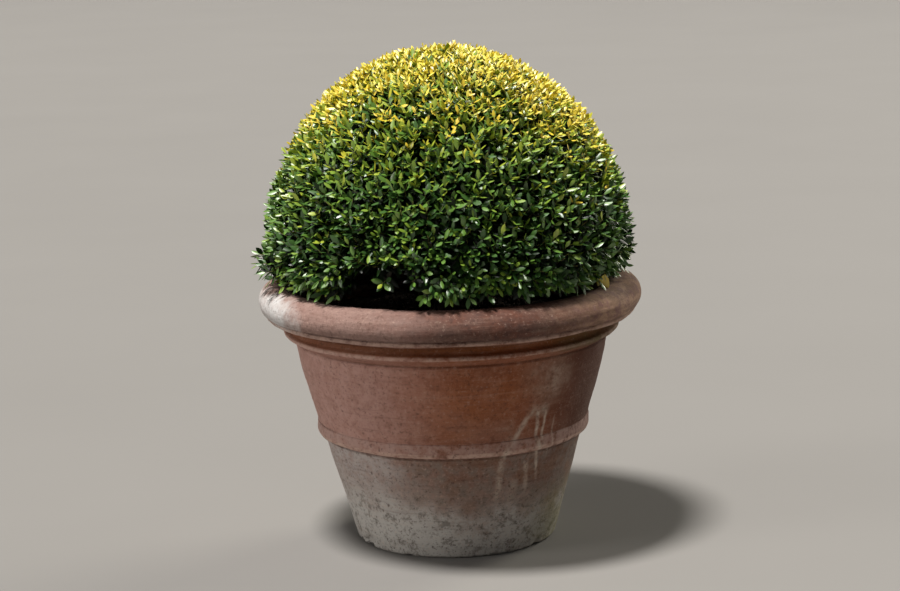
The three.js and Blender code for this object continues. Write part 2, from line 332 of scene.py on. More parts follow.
class Paint:
    """Adds and joins the nodes of one material. Its colour is built up in coats, and patterns lie on
    the object's own coordinates."""

    def __init__(self, name):
        self.material = bpy.data.materials.new(name)
        self.material.use_nodes = True
        self.tree = self.material.node_tree
        self.shader = self.tree.nodes["Principled BSDF"]
        self.place = self.node("TexCoord", {})["Object"]
        self.colour = None

    def put(self, value, socket):
        """Joins a node's output to a socket, or sets the socket to a number or a colour."""
        if isinstance(value, bpy.types.NodeSocket):
            self.tree.links.new(value, socket)
        else:
            socket.default_value = linear(value) if isinstance(value, str) else value

    def node(self, kind, inputs, **settings):
        """Adds a node with its settings and inputs. Returns its outputs."""
        node = self.tree.nodes.new("ShaderNode" + kind)
        for name, value in settings.items():
            setattr(node, name, value)
        for name, value in inputs.items():
            self.put(value, node.inputs[name])
        return node.outputs

    def noise(self, size, detail=3, stretch=(1, 1, 1), roughness=0.55):
        """Noise from 0 to 1 whose spots are about size across, stretched along the axes."""
        scaled = {0: self.place, 1: [size * s for s in stretch]}
        place = self.node("VectorMath", scaled, operation="DIVIDE")[0]
        inputs = {"Vector": place, "Scale": 1, "Detail": detail, "Roughness": roughness}
        return self.node("TexNoise", inputs)["Fac"]

    def math(self, operation, first, second=0.0):
        return self.node("Math", {0: first, 1: second}, operation=operation)[0]

    def plus(self, first, second):
        return self.math("ADD", first, second)

    def times(self, first, second):
        return self.math("MULTIPLY", first, second)

    def sway(self, pattern, reach):
        """A pattern as a shift to both sides of 0, reach in all."""
        return self.times(self.math("SUBTRACT", pattern, 0.5), reach)

    def away(self, value, middle):
        return self.math("ABSOLUTE", self.math("SUBTRACT", value, middle))

    def ramp(self, value, low, high, start=0.0, end=1.0):
        """start below low, end above high and a smooth step between."""
        inputs = {"Value": value, "From Min": low, "From Max": high, "To Min": start, "To Max": end}
        return self.node("MapRange", inputs, interpolation_type="SMOOTHSTEP")[0]

    def mix(self, amount, first, second):
        """The second colour over the first one by the amount."""
        inputs = {"Factor": amount, "A": first, "B": second}
        return self.node("Mix", inputs, data_type="RGBA")["Result"]

    def coat(self, tint, *amounts):
        """Lays a tint over the colour so far, as strongly as the amounts multiplied. An amount in
        brackets is a ramp's."""
        amounts = [self.ramp(*amount) if isinstance(amount, tuple) else amount for amount in amounts]
        self.colour = self.mix(reduce(self.times, amounts), self.colour, tint)

    def band(self, value, middle, half_width, edge):
        """1 within half a width of the middle, and 0 from an edge further out."""
        return self.ramp(self.away(value, middle), half_width, half_width + edge, 1.0, 0.0)

    def spot(self, centre, size):
        """1 at a point, 0 from a size away, and a smooth slope between."""
        away = self.node("VectorMath", {0: self.place, 1: centre}, operation="DISTANCE")["Value"]
        return self.ramp(away, 0.0, size, 1.0, 0.0)

    def bump(self, height, distance, strength=1.0):
        inputs = {"Strength": strength, "Distance": distance, "Height": height}
        self.put(self.node("Bump", inputs)["Normal"], self.shader.inputs["Normal"])

    def finish(self, roughness):
        self.put(self.colour, self.shader.inputs["Base Color"])
        self.put(roughness, self.shader.inputs["Roughness"])
        return self.material


def terracotta_material():
    paint = Paint("terracotta")
    x, y, z = paint.node("SeparateXYZ", {0: paint.place})
    side = paint.plus(x, paint.times(y, 0.3))
    broad = paint.noise(0.11, 4)
    cloudy = paint.noise(0.045, 5)
    mottle = paint.noise(0.013, 5, roughness=0.68)
    grain = paint.noise(0.0042, 4, roughness=0.75)
    thrown = paint.noise(0.005, 3, stretch=(16, 16, 1), roughness=0.6)
    paint.colour = paint.mix(paint.ramp(broad, 0.38, 0.62), "#84492b", "#8b5a45")
    paint.coat("#6f3c25", (cloudy, 0.42, 0.7, 0.0, 0.5))
    paint.coat("#a37a66", (mottle, 0.50, 0.68, 0.0, 0.45))
    paint.coat("#5c3220", (mottle, 0.46, 0.32, 0.0, 0.4))
    # Painted shade: the right side of the pot is darker
    paint.coat("#45210e", (side, 0.03, 0.15), 0.9)
    patches(paint, cloudy, mottle)
    lime_bloom_and_left_light(paint, side, z, cloudy, mottle)
    foot_stains(paint, side, z, cloudy, mottle, grain)
    worn_edges_and_highlights(paint, z, mottle)
    dirt_and_painted_shade(paint, side, z, cloudy, mottle)
    lime_runs(paint, x, y, z, mottle)
    surface_grain(paint, side, z, grain, thrown)
    height = paint.plus(grain, paint.times(paint.plus(mottle, thrown), 1.2))
    paint.bump(height, 0.0007, 0.8)
    return paint.finish(paint.ramp(cloudy, 0.35, 0.7, 0.82, 0.96))


# Patches on the pot's body: azimuth in degrees, radius, height, reach, how strong and the colour
PATCHES = [
    (-90, 0.192, 0.212, 0.080, 0.75, "#9a5a34"),
    (-70, 0.193, 0.228, 0.060, 0.60, "#99562b"),
    (-108, 0.196, 0.240, 0.045, 0.45, "#9c5f3b"),
    (-125, 0.188, 0.200, 0.070, 0.45, "#9a7366"),
    (-53, 0.197, 0.242, 0.058, 0.60, "#977d6b"),
    (-58, 0.188, 0.197, 0.014, 0.75, "#a79585"),
    (-53, 0.188, 0.198, 0.014, 0.75, "#a79585"),
    (-65, 0.182, 0.168, 0.035, 0.50, "#93796a"),
    (40, 0.190, 0.215, 0.075, 0.45, "#95705f"),
    (120, 0.190, 0.200, 0.070, 0.50, "#875230"),
    (165, 0.188, 0.225, 0.060, 0.50, "#9c8576"),
]


def patches(paint, cloudy, mottle):
    """Warmer and paler patches, ragged at their edges."""
    ragged = paint.ramp(paint.plus(cloudy, mottle), 0.8, 1.15, 0.25, 1.0)
    for azimuth, radius, height, reach, strength, tint in PATCHES:
        angle = math.radians(azimuth)
        centre = (radius * math.cos(angle), radius * math.sin(angle), height)
        paint.coat(tint, paint.spot(centre, reach), ragged, strength)


def lime_bloom_and_left_light(paint, side, z, cloudy, mottle):
    """Pale lime that has come through the clay: on the rim, at the left and below the ring. The
    pale pink at the left is also painted light from that side.
    """
    ragged_side = paint.plus(side, paint.sway(cloudy, 0.06))
    # Paler pink at the left: lime bloom and painted light from the left
    paint.coat("#ba9289", (side, -0.04, -0.19), (mottle, 0.3, 0.62, 0.55, 0.85))
    rim_bloom_and_left_light(paint, ragged_side, z, cloudy, mottle)
    lower = paint.ramp(z, LOWER_BODY_TOP[1] + 0.001, LOWER_BODY_TOP[1] - 0.002)
    paint.coat("#796a61", lower, (mottle, 0.3, 0.62, 0.35, 0.9))
    paint.coat("#7c553f", lower, (cloudy, 0.5, 0.62, 0.0, 0.5))
    paint.coat("#b0a6a3", lower, (ragged_side, -0.085, -0.15), (mottle, 0.32, 0.62, 0.45, 0.95))


def rim_bloom_and_left_light(paint, side, z, cloudy, mottle):
    """The rolled rim is greyer than the body and blotched, and pinker then chalky white at the left:
    lime bloom there together with painted light from that side.
    """
    rim = paint.ramp(z, UNDER_ROLL[1] - 0.0088, UNDER_ROLL[1] - 0.0048)
    worn = paint.noise(0.010, 4, stretch=(4, 4, 1), roughness=0.65)
    paint.coat("#523127", rim, (mottle, 0.3, 0.62, 0.7, 0.95))
    paint.coat("#61463d", rim, (worn, 0.48, 0.64, 0.0, 0.5))
    paint.coat("#654e45", rim, (cloudy, 0.52, 0.66, 0.0, 0.5))
    paint.coat("#402823", rim, (mottle, 0.54, 0.66, 0.0, 0.45))
    right = paint.ramp(side, 0.03, 0.15)
    paint.coat("#a07f67", rim, right, (worn, 0.38, 0.6, 0.4, 0.85))
    paint.coat("#6e494b", rim, right, (mottle, 0.50, 0.60, 0.0, 0.6))
    # Pinker, then chalk white at the left end: lime bloom and painted light from the left
    paint.coat("#94776e", rim, (side, -0.05, -0.21), (mottle, 0.3, 0.6, 0.5, 0.85))
    paint.coat("#c6c4c3", rim, (side, -0.232, -0.256), (mottle, 0.3, 0.6, 0.6, 0.95))


# Runs of lime water down the pot: azimuth in degrees and height at the top and at the bottom, half
# width and strength
RUNS = [
    (-55.8, 0.204, -53.8, 0.140, 0.0022, 0.85),
    (-53.8, 0.165, -49.2, 0.095, 0.0022, 0.80),
    (-51.6, 0.202, -51.4, 0.142, 0.0018, 0.75),
    (-58.5, 0.200, -68.0, 0.145, 0.0036, 0.60),
    (-68.5, 0.158, -70.5, 0.068, 0.0040, 0.60),
    (-57.2, 0.135, -54.6, 0.076, 0.0032, 0.55),
    (-62.0, 0.112, -62.5, 0.060, 0.0060, 0.30),
    (-46.0, 0.190, -45.5, 0.120, 0.0014, 0.30),
    (-50.0, 0.262, -47.0, 0.205, 0.0090, 0.22),
    (-44.5, 0.258, -41.5, 0.222, 0.0070, 0.18),
    (64.0, 0.235, 61.0, 0.120, 0.0026, 0.60),
    (69.0, 0.230, 68.0, 0.155, 0.0020, 0.55),
    (142.0, 0.245, 144.0, 0.170, 0.0030, 0.45),
]


def lime_runs(paint, x, y, z, mottle):
    """Whitish runs, thin and long, that wander a little and fade at both ends."""
    bend = paint.sway(paint.noise(0.02, 2, stretch=(3, 3, 1)), 0.03)
    azimuth = paint.plus(paint.math("ARCTAN2", y, x), bend)
    worn = paint.ramp(mottle, 0.34, 0.56, 0.3, 1.0)
    for top_azimuth, top, bottom_azimuth, bottom, half_width, strength in RUNS:
        lean = math.radians(top_azimuth - bottom_azimuth) / (top - bottom)
        middle = paint.plus(paint.times(z, lean), math.radians(top_azimuth) - top * lean)
        away = paint.times(paint.away(azimuth, middle), BELLY[0])
        line = paint.ramp(away, 0.0, half_width * 2.2, 1.0, 0.0)
        ends = (z, top, top - 0.012), (z, bottom, bottom + 0.025)
        paint.coat("#c4b3a3", line, *ends, worn, strength)


def foot_stains(paint, side, z, cloudy, mottle, grain):
    """Grey lime that rises round the foot, with dark blotches, pits and some green in it."""
    height = paint.plus(z, paint.ramp(side, -0.14, 0.0, -0.02, 0.0))
    for pattern, reach in ((cloudy, 0.07), (mottle, 0.06), (grain, 0.03)):
        height = paint.plus(height, paint.sway(pattern, reach))
    paint.coat("#a0938b", (height, 0.115, 0.050, 0.0, 0.45))
    paint.coat("#bab7b3", (height, 0.078, 0.026, 0.0, 0.90))
    blotches = paint.noise(0.014, 5, roughness=0.75)
    paint.coat("#625c54", (z, 0.13, 0.05), (blotches, 0.50, 0.62), 0.65)
    paint.coat("#7f7a4a", (z, 0.10, 0.05), (side, 0.02, 0.13), (cloudy, 0.35, 0.6, 0.1, 0.6))
    pits = paint.noise(0.0065, 4, roughness=0.7)
    paint.coat("#37302a", (z, 0.13, 0.04), (pits, 0.62, 0.69), 0.75)


def worn_edges_and_highlights(paint, z, mottle):
    """The lip, the bead and the ring, worn pale; their pale bands are also painted highlights."""
    worn = paint.ramp(mottle, 0.32, 0.6, 0.1, 1.0)
    # The ring's face, worn pale and painted as a highlight
    paint.coat("#af9188", paint.band(z, RING_LOW_Z + 0.010, 0.0085, 0.003), worn, 0.65)
    # Edges worn pale that are also painted highlights: a height, a half width and a strength each
    edges = (
        (LIP[1], 0.0026, 0.60),
        (BEAD[1] + 0.0006, 0.0020, 0.65),
        (RING_LOW_Z + 0.0043, 0.0021, 0.80),
    )
    for height, half_width, strength in edges:
        paint.coat("#bf9f90", paint.band(z, height, half_width, 0.0016), worn, strength)


def dirt_and_painted_shade(paint, side, z, cloudy, mottle):
    """A brown neck with painted shade under the lip, dirt and painted shade in the cut lines, a
    painted shadow under the ring, and green on the neck at the right.
    """
    paint.coat("#7f4519", paint.band(z, NECK[1] + 0.0008, 0.0062, 0.003), 0.8)
    # Painted shade under the lip's overhang
    paint.coat("#562b0e", paint.band(z, NECK[1] + 0.006, 0.003, 0.003), 0.5)
    paint.coat("#84492a", paint.band(z, BODY_TOP[1] + 0.007, 0.0035, 0.003), 0.5)
    patchy = paint.ramp(mottle, 0.3, 0.6, 1.0, 0.5)
    # Dark lines: dirt and painted shade in the cuts, and a painted shadow under the ring
    lines = (
        (UNDER_ROLL[1], 0.0005, 0.6),
        (BODY_TOP[1] + CUT_HALF, 0.0007, 0.4),
        (LOWER_BODY_TOP[1] - 0.0010, 0.0014, 0.8),
    )
    for height, half_width, strength in lines:
        paint.coat("#3f2519", paint.band(z, height, half_width, 0.0014), patchy, strength)
    neck = paint.band(z, NECK[1] - 0.0035, 0.010, 0.008)
    paint.coat("#55491f", neck, (side, 0.05, 0.13), (cloudy, 0.35, 0.6, 0.25, 0.75))


def surface_grain(paint, side, z, grain, thrown):
    """Faint lines from the wheel, and pale and dark grains, which are strongest below the ring. The
    pale lines and the grains are weaker on the right, in the painted shade there.
    """
    paint.coat("#c0a292", (side, 0.05, 0.15, 1.0, 0.3), (thrown, 0.52, 0.72, 0.0, 0.12))
    paint.coat("#4d2f22", (thrown, 0.46, 0.28, 0.0, 0.22))
    granular = (z, RING_HIGH_Z, RING_LOW_Z, 1.0, 1.35), (side, 0.05, 0.16, 1.0, 0.5)
    paint.coat("#c0a595", *granular, (grain, 0.55, 0.70, 0.0, 0.30))
    paint.coat("#3f261b", *granular, (grain, 0.47, 0.33, 0.0, 0.50))


def compost_material():
    paint = Paint("compost")
    crumbs = paint.noise(0.006, 4)
    paint.colour = paint.mix(paint.ramp(crumbs, 0.4, 0.65), "#1e140d", "#4a3626")
    paint.bump(paint.noise(0.002, 3), 0.0008)
    return paint.finish(0.95)


def bark_material(name, dark, light):
    paint = Paint(name)
    plates = paint.noise(0.005, 4, stretch=(1, 1, 3))
    paint.colour = paint.mix(paint.ramp(plates, 0.38, 0.62), dark, light)
    paint.bump(paint.noise(0.0016, 3, stretch=(1, 1, 2)), 0.0005)
    return paint.finish(paint.ramp(plates, 0.3, 0.7, 0.95, 0.8))


def leaf_material(name, colour, sheen):
    """A waxy leaf. Its colour is plain, because the colours are dealt out by spray."""
    paint = Paint(name)
    paint.shader.inputs["Specular IOR Level"].default_value = sheen
    paint.colour = colour
    return paint.finish(0.4)


def floor_material():
    paint = Paint("floor")
    paint.colour = paint.mix(paint.noise(0.6, 3), "#7c7976", "#817e7b")
    return paint.finish(0.75)


# Pot

def pot_outside():
    """The outside from the foot up to the top of the rolled rim, with its cut lines."""
    body = smooth_curve([(radius, 0, z) for radius, z in (BODY_FOOT, BELLY, BODY_TOP)], 30)
    return np.concatenate([
        arc(BASE_RADIUS - FOOT_ROUND[0], FOOT_ROUND[1], *FOOT_ROUND, -90, 0, 8),
        [LOWER_BODY_TOP],
        arc(RING_RADIUS - RING_ROUND, RING_LOW_Z + RING_ROUND, RING_ROUND, RING_ROUND, -75, 0, 8),
        arc(RING_RADIUS - 0.001, RING_HIGH_Z - CUT_HALF, 0.001, 0.001, 0, 90, 3),
        [(RING_RADIUS - CUT_DEPTH * 0.5, RING_HIGH_Z)],
        body[:, [0, 2]],
        [(BODY_TOP[0] - CUT_DEPTH, BODY_TOP[1] + CUT_HALF)],
        [(BODY_TOP[0] + 0.001, BODY_TOP[1] + 2 * CUT_HALF)],
        arc(*BEAD, -55, 80, 8),
        arc(NECK[0] + NECK_ROUND, NECK[1], NECK_ROUND, NECK_ROUND, 225, 135, 10),
        arc(*LIP, -75, 62, 8),
        [UNDER_ROLL],
        arc(*ROLL, ROLL_HALF_WIDTH, ROLL_DOWN, -31, 0, 14)[:-1],
        arc(*ROLL, ROLL_HALF_WIDTH, ROLL_UP, 0, 165, 48),
    ])


def pot_inside():
    """The inside from under the rolled rim down to the drain hole."""
    return np.array([
        (0.1940, 0.3120),
        (NECK[0] - WALL, NECK[1]),
        (BODY_TOP[0] - WALL, BODY_TOP[1]),
        (LOWER_BODY_TOP[0] - WALL, LOWER_BODY_TOP[1]),
        (BASE_RADIUS - WALL + 0.009, POT_FLOOR + 0.012),
        (BASE_RADIUS - WALL, POT_FLOOR),
        (DRAIN_RADIUS, POT_FLOOR),
        (DRAIN_RADIUS, 0.0),
    ])


# Chips at the foot and on the ring, each an azimuth in degrees, a height, a size and a depth
CHIPS = [
    (-151, 0.004, 0.013, 0.0035),
    (-146, 0.012, 0.008, 0.0020),
    (-163, 0.002, 0.009, 0.0025),
    (-118, 0.001, 0.006, 0.0014),
    (-38, 0.002, 0.010, 0.0024),
    (24, 0.003, 0.012, 0.0028),
    (97, 0.001, 0.009, 0.0022),
    (150, 0.010, 0.011, 0.0026),
    (-62, 0.147, 0.006, 0.0012),
    (-131, 0.147, 0.005, 0.0010),
    (71, 0.147, 0.007, 0.0013),
]


def chipped(points, wall):
    """How deep the chips are at each point, on the outer wall alone."""
    depth = np.zeros(len(points))
    radius = np.hypot(points[:, 0], points[:, 1])
    rough = waves(points, 0.004, 60)
    for azimuth, height, size, deepest in CHIPS:
        place = level(np.radians(azimuth)) * radius[:, None] + UP * height
        away = np.linalg.norm(points - place, axis=-1) + rough * size * 0.2
        depth += smooth(-away, -size, -size * 0.45) * deepest
    return depth * wall


# Unevenness from the hand, and grain: a size, a seed and a depth each
POT_RELIEF = [(0.16, 10, 0.0009), (0.03, 20, 0.00022), (0.0075, 30, 0.00012)]


def make_pot():
    outside = close_set(np.concatenate([pot_outside(), pot_inside()[:1]]), OUTSIDE_STEP)
    inside = close_set(pot_inside(), INSIDE_STEP)[1:]
    underside = np.linspace(inside[-1], outside[0], 30)[1:-1]
    profile = np.concatenate([outside, inside, underside])
    points, faces = turned(profile, POT_SIDES, closed=True)
    along = unit(np.roll(profile, -1, axis=0) - np.roll(profile, 1, axis=0))
    out, up = np.repeat(along[:, ::-1] * [1, -1], POT_SIDES, axis=0).T
    normal = unit(points * [1, 1, 0]) * out[:, None] + UP * up[:, None]
    radius = np.hypot(points[:, 0], points[:, 1])
    wall = smooth(radius - WALL - BASE_RADIUS * 0.5, 0.0, 0.02)
    above_foot = smooth(points[:, 2], 0.0, 0.004)
    moved = relief(points, POT_RELIEF) * above_foot * wall - chipped(points, wall)
    points = points + normal * moved[:, None]
    points[:, 2] = np.maximum(points[:, 2], 0)
    make_piece("terracotta_pot", points, faces, terracotta_material(), "terracotta", "pot")


# Compost

# The compost's edge and middle, and its relief: a size, a seed and a depth in each row
COMPOST_GAP = 0.0008
COMPOST_EDGE = (0.1885, COMPOST_Z - 0.006)
COMPOST_MIDDLE = (0.004, COMPOST_Z)
COMPOST_RELIEF = [(0.05, 200, 0.0025), (0.013, 210, 0.0016), (0.006, 220, 0.001)]
CRUMB_COUNT = 1400
CRUMBS_RADIUS = 0.184


def make_compost():
    surface = np.linspace(COMPOST_EDGE, COMPOST_MIDDLE, 60)
    wall = pot_inside()[1:6][::-1] - [COMPOST_GAP, 0]
    wall[0, 1] = POT_FLOOR + COMPOST_GAP
    profile = np.concatenate([[[0, wall[0, 1]]], wall[:-1], surface, [[0, COMPOST_Z]]])
    points, faces = turned(profile, 160, closed=False)
    radius = np.hypot(points[:, 0], points[:, 1])
    top = smooth(points[:, 2], COMPOST_Z - 0.010, COMPOST_Z - 0.0065) * smooth(-radius, -0.188, -0.184)
    clear = smooth(radius, STEM_FLARE, STEM_FLARE + 0.02)
    points[:, 2] += (relief(points, COMPOST_RELIEF) - 0.001) * top * clear
    crumbs, crumb_faces = make_crumbs()
    faces = np.concatenate([faces, crumb_faces + len(points)])
    points = np.concatenate([points, crumbs])
    make_piece("potting_compost", points, faces, compost_material(), "compost", "compost")


def make_crumbs():
    """Loose crumbs and bits of bark on the compost, each a small uneven double cone."""
    number = np.arange(CRUMB_COUNT)
    out = np.sqrt(0.04 + 0.96 * chance(number, 301))
    size = 0.0016 + 0.0032 * chance(number, 302) ** 3
    height = COMPOST_Z - 0.0055 * out + size * 0.25
    middle = level(number * GOLDEN_ANGLE) * (CRUMBS_RADIUS * out)[:, None] + UP * height[:, None]
    shape, one = turned([[0, 0.8], [1, 0], [0, -0.8]], 5, closed=False)
    uneven = 1 + spread(number[:, None] * 7 + np.arange(len(shape)), 303, 0.35)
    points = middle[:, None] + shape * (size[:, None] * uneven)[:, :, None]
    faces = one[:, ::-1] + number[:, None, None] * len(shape)
    return points.reshape(-1, 3), faces.reshape(-1, 3)


# Stem and boughs

def stem_line(count):
    foot = UP * STEM_FOOT_Z
    bends = [foot + [0.0005, 0, 0.02], foot + [0.004, 0.002, 0.07]]
    return smooth_curve([foot, *bends, [0.003, 0.005, STEM_TOP_Z]], count)


def bough_line(index, count):
    """The middle line of a bough, by the solids' rule."""
    out = level(0.5 + index * GOLDEN_ANGLE)
    up_stem = index / (BOUGH_COUNT - 1)
    ends = (FORK_Z, BOUGH_REACH, BOUGH_RISE)
    fork_z, reach, rise = (low + (high - low) * up_stem for low, high in ends)
    line = stem_line(400)
    start = line[round((fork_z - STEM_FOOT_Z) / (STEM_TOP_Z - STEM_FOOT_Z) * 399)]
    bends = [(0, 0), (0.35, 0.22), (0.72, 0.56), (1, 1)]
    return smooth_curve([start + out * reach * along + UP * rise * up for along, up in bends], count)


def barked(points, depth):
    """Moves the skin of a limb in and out: long fissures between plates of bark."""
    stretched = points * [1, 1, 0.3]
    fissures = 1 - 2 * np.abs(waves(stretched, 0.011, 400))
    plates = waves(points * [1, 1, 0.5], 0.005, 410)
    return (fissures * 0.6 + plates * 0.4) * depth


def make_limb(name, line, radii, sides, node, material):
    points, faces = tubes(line[None], radii[None], sides)
    nearest = np.concatenate([np.repeat(line, sides, axis=0), line[:1], line[-1:]])
    out = points - nearest
    out = out / np.maximum(np.linalg.norm(out, axis=-1, keepdims=True), 1e-9)
    points = points + out * barked(points, radii.mean() * 0.11)[:, None]
    make_piece(name, points, faces, material, "bark", node)


def make_limbs():
    """The stem and the boughs in their bark. Returns the lines that branches grow from."""
    material = bark_material("bark", "#4a3d2e", "#8d7f69")
    rings, sides = STEM_MESH
    share = np.linspace(0, 1, rings)
    radii = STEM_RADIUS * (1 - 0.45 * share) + (STEM_FLARE - STEM_RADIUS) * np.exp(-share * 12)
    make_limb("stem_bark", stem_line(rings), radii, sides, "stem", material)
    lines = [stem_line(60)[45:]]
    rings, sides = BOUGH_MESH
    radii = np.linspace(BOUGH_RADIUS, BOUGH_RADIUS * 0.65, rings)
    for index in range(BOUGH_COUNT):
        name = f"bough_bark_{index + 1}"
        make_limb(name, bough_line(index, rings), radii, sides, f"bough_{index + 1}", material)
        lines.append(bough_line(index, 60)[20:])
    return lines


# The clipped outline

def outline_radius(z):
    """Radius of the clipped outline at a height."""
    height = np.clip((z - BALL_WIDEST_Z) / BALL_RISE, 0, 1)
    drop = np.clip((BALL_WIDEST_Z - z) / (BALL_WIDEST_Z - SKIRT_Z), 0, None)
    return BALL_RADIUS * np.sqrt(1 - height ** 2) - SKIRT_TUCK * drop ** 2


def outline_normal(z, out):
    """Which way the clipped outline faces at a height, out being level and away from the axis."""
    height = np.clip(z - BALL_WIDEST_Z, 0, None)
    outward = np.sqrt(np.clip(1 - (height / BALL_RISE) ** 2, 0, 1)) / BALL_RADIUS
    slope = 2 * SKIRT_TUCK * np.clip(BALL_WIDEST_Z - z, 0, None) / (BALL_WIDEST_Z - SKIRT_Z) ** 2
    upward = height / BALL_RISE ** 2 - slope * outward
    return unit(out * outward[..., None] + UP * upward[..., None])


def on_outline(z, out, past=0.0):
    """Points of the clipped outline at some heights, or points so far past it."""
    return out * (outline_radius(z) + past)[:, None] + UP * z[:, None]


def bezier(start, leave, arrive, end, share):
    """Points and directions of cubic curves, all at once. share is a number for each curve."""
    t = share[..., None]
    rest = 1 - t
    point = start * rest ** 3 + leave * 3 * t * rest ** 2 + arrive * 3 * t ** 2 * rest + end * t ** 3
    slope = (leave - start) * rest ** 2 + (arrive - leave) * 2 * t * rest + (end - arrive) * t ** 2
    return point, unit(slope)


def curves(controls, rings):
    """(curve, ring, xyz) points of cubic curves."""
    return bezier(*(control[:, None] for control in controls), np.linspace(0, 1, rings))[0]


# Branches, one to each of the solids' twigs

def twig_places():
    """Where the solids' twigs come out of the outline, and their directions."""
    index = np.arange(BRANCH_COUNT)
    z = BALL_TOP_Z - (index + 0.5) / BRANCH_COUNT * (BALL_TOP_Z - SKIRT_Z - 0.004)
    out = level(index * GOLDEN_ANGLE + spread(index, 1, 0.09))
    lean_up = 0.25 * (z > BALL_WIDEST_Z)[:, None]
    return on_outline(z, out), unit(outline_normal(z, out) + UP * lean_up + wander(index, 2, 0.16))


def grow_branches(lines):
    """A branch from the nearest limb to the foot of each of the solids' twigs. Returns its
    control points."""
    surface, direction = twig_places()
    end = surface - direction * BRANCH_DEPTH
    limbs = np.concatenate(lines)
    ways = np.concatenate([unit(np.gradient(line, axis=0)) for line in lines])
    nearest = np.argmin(np.linalg.norm(end[:, None] - limbs[None], axis=-1), axis=1)
    start = limbs[nearest]
    length = np.linalg.norm(end - start, axis=-1, keepdims=True)
    leave = start + ways[nearest] * length * 0.3
    arrive = end - direction * length * 0.35
    return start, leave, arrive, end


def make_branches(branches):
    rings, sides = BRANCH_MESH
    thick = 0.85 + 0.3 * chance(np.arange(BRANCH_COUNT), 5)
    radii = np.linspace(0.0028, 0.0014, rings) * thick[:, None]
    points, faces = tubes(curves(branches, rings), radii, sides)
    points = points + unit(points - [0, 0, 0.45]) * (waves(points, 0.008, 500) * 0.0002)[:, None]
    material = bark_material("branch_bark", "#3f3526", "#7b6d57")
    make_piece("branches", points, faces, material, "bark", "foliage")


# Shoots

def lumps(z, azimuth):
    """How far the clipping wanders in and out of the true outline."""
    wave = np.sin(3 * azimuth + 1.3) * np.sin(z * 26 + 0.7) + 0.7 * np.sin(7 * azimuth - z * 19 + 2.1)
    return 0.0018 * wave


def skirt_edge(azimuth):
    """The height of the skirt's lower edge. It is open to the left of the front, where the
    compost's shade shows."""
    front = np.clip(-np.sin(azimuth), 0, 1) ** 3
    from_opening = np.angle(np.exp(1j * (azimuth - OPENING_AZIMUTH))) / OPENING_HALF_WIDTH
    opening = 0.044 * np.exp(-from_opening ** 4)
    return SKIRT_Z + 0.0015 + 0.007 * front + opening + 0.003 * np.sin(9 * azimuth + 0.5)


def shoot_places():
    """Tips of the shoots: the solids' rule for twigs, carried on to many more."""
    number = np.arange(SHOOT_COUNT)
    index = number + SHOOT_SEED
    z = BALL_TOP_Z - (number + 0.5) / SHOOT_COUNT * (BALL_TOP_Z - SKIRT_Z) + spread(index, 1, 0.006)
    z = np.clip(z, SKIRT_Z, BALL_TOP_Z - 0.0004)
    azimuth = index * GOLDEN_ANGLE + spread(index, 2, 0.007) / np.maximum(outline_radius(z), 0.03)
    keep = z > skirt_edge(azimuth)
    index, z, azimuth = index[keep], z[keep], azimuth[keep]
    out = level(azimuth)
    normal = outline_normal(z, out)
    lean_up = 0.5 * smooth(z, 0.36, 0.44) - 0.12 * smooth(-z, -0.372, -0.356)
    direction = unit(normal + UP * lean_up[:, None] + wander(index, 3, 0.38))
    surface = on_outline(z, out)
    hollow = 0.011 * smooth(waves(surface, 0.045, 40), 0.3, 1.2) * (1 - 0.4 * smooth(z, 0.50, 0.60))
    clip = 0.0082 - lumps(z, azimuth) - spread(index, 6, 0.0045) + 0.008 * chance(index, 7) ** 4 + hollow
    return index, surface - normal * clip[:, None], direction


def sunny_height(z, azimuth):
    """A height for the flush of young leaves, which reaches lower at the sides and the back than
    at the front, and lower at the right than at the left. At the sides and the right this is
    young growth together with painted light on the ball's lit edges."""
    right = FLUSH_RIGHT * smooth(np.cos(azimuth), 0.25, 1.0)
    return z + FLUSH_TILT * (1 + np.sin(azimuth)) + right


def flush_places():
    """Tips of the young side shoots that crowd the upper part of the ball."""
    number = np.arange(FLUSH_COUNT)
    index = number + FLUSH_SEED
    z = BALL_TOP_Z - 0.0004 - (number + 0.5) / FLUSH_COUNT * (BALL_TOP_Z - FLUSH_LOWEST_Z)
    azimuth = index * GOLDEN_ANGLE
    keep = chance(index, 21) < smooth(sunny_height(z, azimuth), FLUSH_LOW_Z, FLUSH_HIGH_Z)
    index, z, azimuth = index[keep], z[keep], azimuth[keep]
    out = level(azimuth)
    normal = outline_normal(z, out)
    clip = 0.0075 + spread(index, 6, 0.003) - lumps(z, azimuth)
    tip = on_outline(z, out) - normal * clip[:, None]
    return index, tip, unit(normal + UP * 0.2 + wander(index, 3, 0.36))


def underside_places():
    """Tips of the shoots that close the ball from below, over the rim and inside its back half."""
    index = np.arange(UNDERSIDE_COUNT) + UNDERSIDE_SEED
    azimuth = index * GOLDEN_ANGLE
    inside = (np.sin(azimuth) > 0.1) & (chance(index, 9) < 0.6)
    radius = 0.196 + 0.03 * chance(index, 1) - 0.030 * inside
    z = skirt_edge(azimuth) + 0.006 + 0.004 * chance(index, 2) - 0.018 * inside
    out = level(azimuth)
    direction = unit(out + wander(index, 3, 0.35) * [1, 1, 0.4])
    return index, out * radius[:, None] + UP * z[:, None], direction


